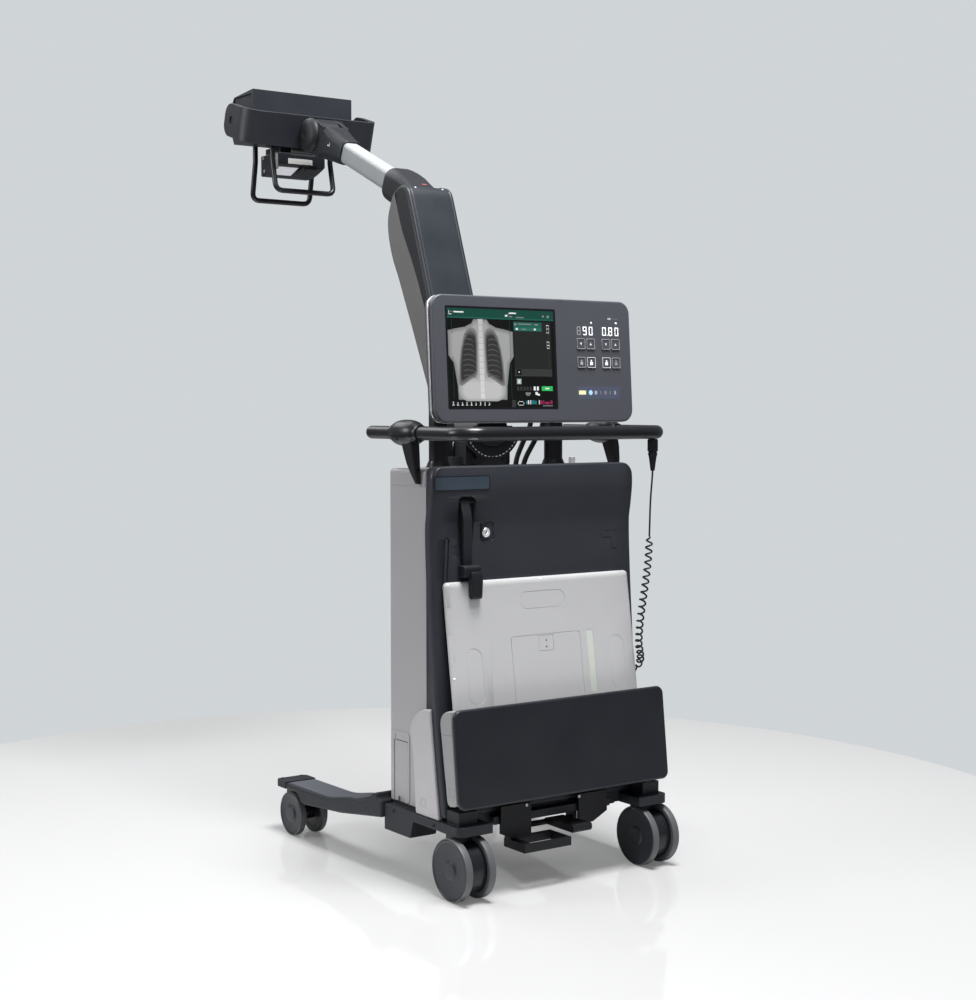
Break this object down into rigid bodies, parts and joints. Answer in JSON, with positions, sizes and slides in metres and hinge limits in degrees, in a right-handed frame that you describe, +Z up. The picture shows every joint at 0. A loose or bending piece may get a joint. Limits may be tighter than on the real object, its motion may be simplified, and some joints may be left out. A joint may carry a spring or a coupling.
{
  "type": "portable x-ray machine",
  "caption": "Slim ward x-ray machine on twin-wheel casters, with a screen, a detector bin and a folding arm that carries the tube head.",
  "frame": {"origin": "on the floor, under the middle of the machine", "axes": "+X to the operator's right, +Y towards the patient side, +Z up"},
  "size_m": [0.567, 1.2418, 1.7476],
  "materials": {
    "charcoal_frame": "fine texture powder coat",
    "dark_trim": "satin moulded plastic",
    "caster_plastic": "satin nylon",
    "tyre_grey": "soft grey tread",
    "silver_cover": "metallic silver paint",
    "black_shell": "soft matt paint",
    "pack_block": "plain",
    "panel_silver": "fine satin",
    "handle_black": "semi gloss",
    "lock_metal": "polished",
    "lead_black": "matt",
    "monitor_grey": "satin",
    "screen": "gloss",
    "boom_dark": "satin",
    "boom_grey": "satin",
    "tube_grey": "satin paint",
    "head_dark": "satin",
    "head_core": "satin paint"
  },
  "bodies": {
    "chassis": {"base_frame": "charcoal_frame", "front_legs": "charcoal_frame", "leg_tips": "dark_trim", "rear_feet": "dark_trim", "brake_pedal": "dark_trim", "pedal_bracket": "charcoal_frame", "body_cover": "silver_cover", "mast_housing": "silver_cover", "power_pack": "pack_block", "lower_covers": "silver_cover", "top_lid": "silver_cover", "rear_shell": "black_shell", "bin_trough": "dark_trim", "bin_cover": "black_shell", "bin_caps": "silver_cover", "detector": "panel_silver", "key_lock": "lock_metal", "handle_loop": "handle_black", "bar_grips": "handle_black", "handle_struts": "handle_black", "hand_switch": "handle_black", "switch_cord": "lead_black", "switch_coil": "lead_black", "monitor_case": "monitor_grey", "screen_glass": "screen", "control_keys": "monitor_grey", "monitor_posts": "dark_trim", "monitor_cables": "lead_black"},
    "caster_rear_left": {"fork_rear_left": "caster_plastic"},
    "caster_rear_right": {"fork_rear_right": "caster_plastic"},
    "caster_front_left": {"fork_front_left": "caster_plastic"},
    "caster_front_right": {"fork_front_right": "caster_plastic"},
    "rollers_rear_left": {"wheels_rear_left": "tyre_grey"},
    "rollers_rear_right": {"wheels_rear_right": "tyre_grey"},
    "rollers_front_left": {"wheels_front_left": "tyre_grey"},
    "rollers_front_right": {"wheels_front_right": "tyre_grey"},
    "door": {"access_door": "silver_cover"},
    "clamp": {"detector_clamp": "dark_trim"},
    "turret_body": {"turret": "dark_trim"},
    "boom": {"boom_spine": "boom_grey", "boom_cover": "boom_dark"},
    "arm": {"arm_root": "head_dark", "arm_tube": "tube_grey", "arm_sleeve": "dark_trim"},
    "wrist": {"wrist_hub": "dark_trim"},
    "yoke_body": {"yoke": "head_dark"},
    "head": {"tube_housing": "head_core", "collimator": "head_dark", "grab_handles": "handle_black"}
  },
  "joints": [
    {"name": "swivel_rear_left", "type": "hinge", "parent": "chassis", "child": "caster_rear_left", "pos_m": [-0.237, -0.53842, 0.0625], "axis": [0, 0, 1], "continuous": true},
    {"name": "roll_rear_left", "type": "hinge", "parent": "caster_rear_left", "child": "rollers_rear_left", "pos_m": [-0.237, -0.55842, 0.0625], "axis": [1, 0, 0], "continuous": true},
    {"name": "swivel_rear_right", "type": "hinge", "parent": "chassis", "child": "caster_rear_right", "pos_m": [0.237, -0.53842, 0.0625], "axis": [0, 0, 1], "continuous": true},
    {"name": "roll_rear_right", "type": "hinge", "parent": "caster_rear_right", "child": "rollers_rear_right", "pos_m": [0.237, -0.55842, 0.0625], "axis": [1, 0, 0], "continuous": true},
    {"name": "swivel_front_left", "type": "hinge", "parent": "chassis", "child": "caster_front_left", "pos_m": [-0.237, 0.11658, 0.049], "axis": [0, 0, 1], "continuous": true},
    {"name": "roll_front_left", "type": "hinge", "parent": "caster_front_left", "child": "rollers_front_left", "pos_m": [-0.237, 0.08658, 0.049], "axis": [1, 0, 0], "continuous": true},
    {"name": "swivel_front_right", "type": "hinge", "parent": "chassis", "child": "caster_front_right", "pos_m": [0.237, 0.11658, 0.049], "axis": [0, 0, 1], "continuous": true},
    {"name": "roll_front_right", "type": "hinge", "parent": "caster_front_right", "child": "rollers_front_right", "pos_m": [0.237, 0.08658, 0.049], "axis": [1, 0, 0], "continuous": true},
    {"name": "door_hinge", "type": "hinge", "parent": "chassis", "child": "door", "pos_m": [-0.25, -0.32642, 0.22], "axis": [0, 0, -1], "range_deg": [0, 100]},
    {"name": "clamp_hinge", "type": "hinge", "parent": "chassis", "child": "clamp", "pos_m": [-0.173, -0.47042, 0.779], "axis": [-1, 0, 0], "range_deg": [0, 35]},
    {"name": "mast_swivel", "type": "hinge", "parent": "chassis", "child": "turret_body", "pos_m": [0, -0.23842, 0.844], "axis": [0, 0, 1], "range_deg": [-90, 90]},
    {"name": "boom_tilt", "type": "hinge", "parent": "turret_body", "child": "boom", "pos_m": [0, -0.23342, 0.925], "axis": [-1, 0, 0], "range_deg": [-12, 30]},
    {"name": "elbow", "type": "hinge", "parent": "boom", "child": "arm", "pos_m": [0, -0.05328, 1.43088], "axis": [1, 0, 0], "range_deg": [-50, 30]},
    {"name": "wrist_pitch", "type": "hinge", "parent": "arm", "child": "wrist", "pos_m": [0, 0.39619, 1.631], "axis": [1, 0, 0], "range_deg": [-40, 60]},
    {"name": "yoke_roll", "type": "hinge", "parent": "wrist", "child": "yoke_body", "pos_m": [0, 0.39619, 1.631], "axis": [0, 0.9563, 0.2924], "range_deg": [-90, 90]},
    {"name": "head_tilt", "type": "hinge", "parent": "yoke_body", "child": "head", "pos_m": [0, 0.52242, 1.66959], "axis": [1, 0, 0], "range_deg": [-20, 45]}
  ]
}
